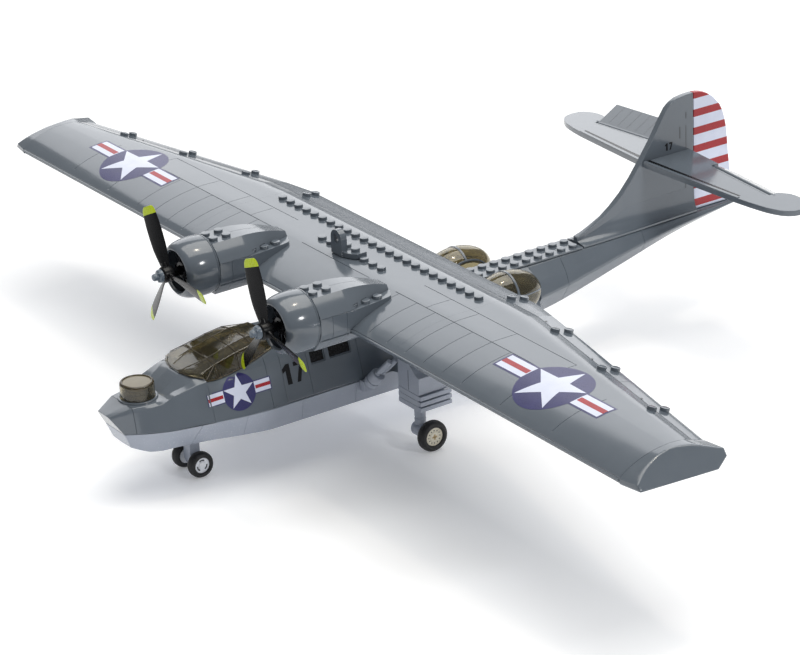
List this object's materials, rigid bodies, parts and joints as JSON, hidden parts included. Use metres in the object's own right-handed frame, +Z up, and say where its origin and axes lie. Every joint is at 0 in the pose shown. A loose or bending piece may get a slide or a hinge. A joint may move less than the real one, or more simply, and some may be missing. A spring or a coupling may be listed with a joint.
{
  "type": "building-brick model flying boat",
  "caption": "Studded plastic building-brick model of a grey twin-engined amphibious flying boat with a parasol wing, smoked glazing, roundels and wheeled landing gear",
  "frame": {"origin": "middle of the bounding box seen from above, on the floor under the wheels", "axes": "+X to the model's left (port) wing tip, +Y towards the tail, +Z up; the bow points to -Y"},
  "size_m": [0.592, 0.4144, 0.1312],
  "materials": {
    "upper_grey_plastic": "moulded, glossy dark bluish grey",
    "lower_grey_plastic": "moulded, glossy light bluish grey",
    "white_plastic": "moulded, glossy white with printed red stripes",
    "black_plastic": "moulded, black",
    "hub_grey_plastic": "moulded, blue-grey",
    "cream_plastic": "moulded, off-white",
    "tyre_rubber": "soft black rubber",
    "smoked_glass": "transparent brown plastic",
    "tan_plastic": "moulded, tan"
  },
  "bodies": {
    "airframe": {"blister_left": "smoked_glass", "blister_right": "smoked_glass", "bow_bottom": "lower_grey_plastic", "bow_deck": "upper_grey_plastic", "cabin": "upper_grey_plastic", "canopy": "smoked_glass", "cockpit_floor": "tan_plastic", "cockpit_sides": "upper_grey_plastic", "cowl_left": "upper_grey_plastic", "cowl_right": "upper_grey_plastic", "engine_left": "black_plastic", "engine_right": "black_plastic", "fairing_left": "upper_grey_plastic", "fairing_right": "upper_grey_plastic", "fin": "upper_grey_plastic", "gear_arm_left": "upper_grey_plastic", "gear_arm_right": "upper_grey_plastic", "gear_housing_left": "lower_grey_plastic", "gear_housing_right": "lower_grey_plastic", "gunner_section": "upper_grey_plastic", "hull_bottom": "lower_grey_plastic", "main_leg_left": "lower_grey_plastic", "main_leg_right": "lower_grey_plastic", "mast_bracket": "upper_grey_plastic", "nacelle_left": "upper_grey_plastic", "nacelle_right": "upper_grey_plastic", "nose_leg": "lower_grey_plastic", "pylon": "upper_grey_plastic", "rudder": "white_plastic", "spine_plate": "upper_grey_plastic", "stabiliser_left": "upper_grey_plastic", "stabiliser_right": "upper_grey_plastic", "strut_left": "lower_grey_plastic", "strut_right": "lower_grey_plastic", "tail_boom": "upper_grey_plastic", "turret": "smoked_glass", "windows_left": "black_plastic", "windows_right": "black_plastic", "wing_centre": "upper_grey_plastic", "wing_outer_left": "upper_grey_plastic", "wing_outer_right": "upper_grey_plastic", "wing_tip_left": "upper_grey_plastic", "wing_tip_right": "upper_grey_plastic"},
    "propeller_body_left": {"propeller_left": "black_plastic", "spinner_left": "hub_grey_plastic"},
    "propeller_body_right": {"propeller_right": "black_plastic", "spinner_right": "hub_grey_plastic"},
    "nose_wheels": {"nose_hubs": "cream_plastic", "nose_tyre_left": "tyre_rubber", "nose_tyre_right": "tyre_rubber"},
    "main_wheel_left": {"main_hub_left": "cream_plastic", "main_tyre_left": "tyre_rubber"},
    "main_wheel_right": {"main_hub_right": "cream_plastic", "main_tyre_right": "tyre_rubber"},
    "elevator_body_left": {"elevator_left": "upper_grey_plastic"},
    "elevator_body_right": {"elevator_right": "upper_grey_plastic"}
  },
  "joints": [
    {"name": "propeller_spin_left", "type": "hinge", "parent": "airframe", "child": "propeller_body_left", "pos_m": [0.048, -0.13705, 0.0905], "axis": [0, 1, 0], "continuous": true},
    {"name": "propeller_spin_right", "type": "hinge", "parent": "airframe", "child": "propeller_body_right", "pos_m": [-0.048, -0.13705, 0.0905], "axis": [0, 1, 0], "continuous": true},
    {"name": "main_wheel_spin_left", "type": "hinge", "parent": "airframe", "child": "main_wheel_left", "pos_m": [0.059, -0.04625, 0.0085], "axis": [1, 0, 0], "continuous": true},
    {"name": "main_wheel_spin_right", "type": "hinge", "parent": "airframe", "child": "main_wheel_right", "pos_m": [-0.059, -0.04625, 0.0085], "axis": [1, 0, 0], "continuous": true},
    {"name": "nose_wheel_spin", "type": "hinge", "parent": "airframe", "child": "nose_wheels", "pos_m": [0, -0.15725, 0.007], "axis": [1, 0, 0], "continuous": true},
    {"name": "elevator_hinge_left", "type": "hinge", "parent": "airframe", "child": "elevator_body_left", "pos_m": [0.05225, 0.17075, 0.09426], "axis": [0.9981, 0, -0.0619], "range_deg": [-5, 55]},
    {"name": "elevator_hinge_right", "type": "hinge", "parent": "airframe", "child": "elevator_body_right", "pos_m": [-0.05225, 0.17075, 0.09426], "axis": [0.9981, 0, 0.0619], "range_deg": [-55, 5]}
  ]
}
